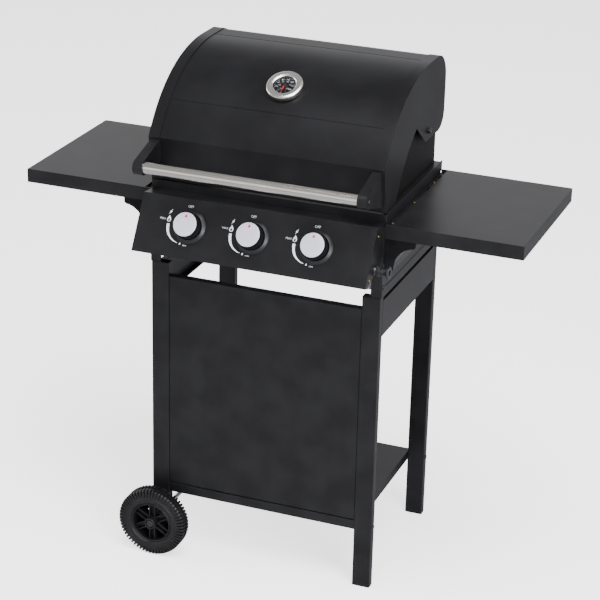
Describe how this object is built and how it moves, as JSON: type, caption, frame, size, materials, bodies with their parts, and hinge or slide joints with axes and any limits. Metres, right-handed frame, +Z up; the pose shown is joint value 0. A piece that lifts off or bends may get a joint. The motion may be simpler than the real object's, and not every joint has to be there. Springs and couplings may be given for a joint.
{
  "type": "gas barbecue grill",
  "caption": "Gas barbecue grill with a half-barrel lid, sloping control panel with turning knobs, two fixed side tables and a wheeled cart with a front panel and bottom shelf.",
  "frame": {"origin": "middle of the grill's box on the floor, between the feet and wheels", "axes": "+X to the user's right, +Y from the control panel to the back, +Z up"},
  "size_m": [1.112, 0.5516, 1.121],
  "materials": {
    "black_coat": "satin black powder coat on sheet steel",
    "black_enamel": "gloss black vitreous enamel",
    "stainless": "brushed stainless steel",
    "aluminised": "dull aluminised sheet steel",
    "chrome_wire": "chromed steel wire",
    "black_plastic": "moulded black plastic, fine grain",
    "tyre_plastic": "moulded black plastic wheel",
    "knob_silver": "silver-grey lacquered plastic, domed",
    "brass": "machined brass",
    "yellow_zinc": "yellow-passivated zinc-plated steel",
    "black_zinc": "black-oxidised steel",
    "zinc_steel": "bright zinc-plated steel",
    "ceramic": "glazed white ceramic",
    "lens": "clear glass",
    "needle_red": "red painted pointer"
  },
  "bodies": {
    "cart": {"leg_front_left": "black_coat", "leg_back_left": "black_coat", "side_apron_left": "black_coat", "firebox_side_left": "black_coat", "side_table_left": "black_coat", "table_bracket_left": "black_coat", "leg_front_right": "black_coat", "leg_back_right": "black_coat", "side_apron_right": "black_coat", "firebox_side_right": "black_coat", "side_table_right": "black_coat", "table_bracket_right": "black_coat", "bottom_shelf": "black_coat", "front_panel": "black_coat", "rear_rail": "black_coat", "firebox_tub": "black_coat", "lid_support": "black_coat", "control_panel": "black_coat", "leg_plugs": "black_plastic", "knob_bezels": "black_plastic", "axle": "zinc_steel", "cart_bolts": "black_zinc", "gas_inlet": "black_zinc", "hinge_pins": "black_zinc", "axle_nuts": "black_zinc", "brass_screws": "yellow_zinc", "flame_tamers": "aluminised", "gas_manifold": "aluminised", "burners": "stainless", "igniters": "ceramic", "gas_valves": "brass"},
    "lid": {"lid_skin": "black_coat", "lid_end_left": "black_coat", "lid_end_right": "black_coat", "handle_bracket_left": "black_plastic", "handle_bracket_right": "black_plastic", "handle_bar": "stainless", "thermometer_case": "stainless", "thermometer_lens": "lens"},
    "needle": {"thermometer_needle": "needle_red"},
    "front_wheel": {"tyre_front": "tyre_plastic", "wheel_hub_front": "tyre_plastic"},
    "back_wheel": {"tyre_back": "tyre_plastic", "wheel_hub_back": "tyre_plastic"},
    "tray": {"grease_tray": "aluminised"},
    "left_grate": {"cooking_grate_left": "black_enamel"},
    "right_grate": {"cooking_grate_right": "black_enamel"},
    "rack": {"warming_rack": "chrome_wire"},
    "push_left": {"stem_collar_left": "zinc_steel"},
    "knob_left": {"knob_left": "black_plastic", "knob_face_left": "knob_silver", "valve_stem_left": "brass"},
    "push_middle": {"stem_collar_middle": "zinc_steel"},
    "knob_middle": {"knob_middle": "black_plastic", "knob_face_middle": "knob_silver", "valve_stem_middle": "brass"},
    "push_right": {"stem_collar_right": "zinc_steel"},
    "knob_right": {"knob_right": "black_plastic", "knob_face_right": "knob_silver", "valve_stem_right": "brass"}
  },
  "joints": [
    {"name": "lid_hinge", "type": "hinge", "parent": "cart", "child": "lid", "pos_m": [0, 0.09985, 0.971], "axis": [-1, 0, 0], "range_deg": [0, 72]},
    {"name": "needle_turn", "type": "hinge", "parent": "lid", "child": "needle", "pos_m": [0, -0.06925, 1.0769], "axis": [0, 0.502, -0.8649], "range_deg": [0, 270], "stiffness_Nm_per_rad": 0.002},
    {"name": "front_wheel_spin", "type": "hinge", "parent": "cart", "child": "front_wheel", "pos_m": [-0.24, -0.21015, 0.079], "axis": [0, 1, 0], "continuous": true},
    {"name": "back_wheel_spin", "type": "hinge", "parent": "cart", "child": "back_wheel", "pos_m": [-0.24, 0.25185, 0.079], "axis": [0, 1, 0], "continuous": true},
    {"name": "tray_slide", "type": "slide", "parent": "cart", "child": "tray", "axis": [0, 1, 0], "range_m": [0, 0.28]},
    {"name": "left_grate_lift", "type": "slide", "parent": "cart", "child": "left_grate", "axis": [0, 0, 1], "range_m": [0, 0.05]},
    {"name": "right_grate_lift", "type": "slide", "parent": "cart", "child": "right_grate", "axis": [0, 0, 1], "range_m": [0, 0.05]},
    {"name": "rack_lift", "type": "slide", "parent": "cart", "child": "rack", "axis": [0, 0, 1], "range_m": [0, 0.05]},
    {"name": "knob_push_left", "type": "slide", "parent": "cart", "child": "push_left", "axis": [0, 0.8571, -0.5151], "range_m": [0, 0.004], "stiffness_N_per_m": 900, "springref_m": -0.003},
    {"name": "knob_turn_left", "type": "hinge", "parent": "push_left", "child": "knob_left", "pos_m": [-0.141, -0.23563, 0.80329], "axis": [0, -0.8571, 0.5151], "range_deg": [0, 200]},
    {"name": "knob_push_middle", "type": "slide", "parent": "cart", "child": "push_middle", "axis": [0, 0.8571, -0.5151], "range_m": [0, 0.004], "stiffness_N_per_m": 900, "springref_m": -0.003},
    {"name": "knob_turn_middle", "type": "hinge", "parent": "push_middle", "child": "knob_middle", "pos_m": [0, -0.23563, 0.80329], "axis": [0, -0.8571, 0.5151], "range_deg": [0, 200]},
    {"name": "knob_push_right", "type": "slide", "parent": "cart", "child": "push_right", "axis": [0, 0.8571, -0.5151], "range_m": [0, 0.004], "stiffness_N_per_m": 900, "springref_m": -0.003},
    {"name": "knob_turn_right", "type": "hinge", "parent": "push_right", "child": "knob_right", "pos_m": [0.141, -0.23563, 0.80329], "axis": [0, -0.8571, 0.5151], "range_deg": [0, 200]}
  ]
}
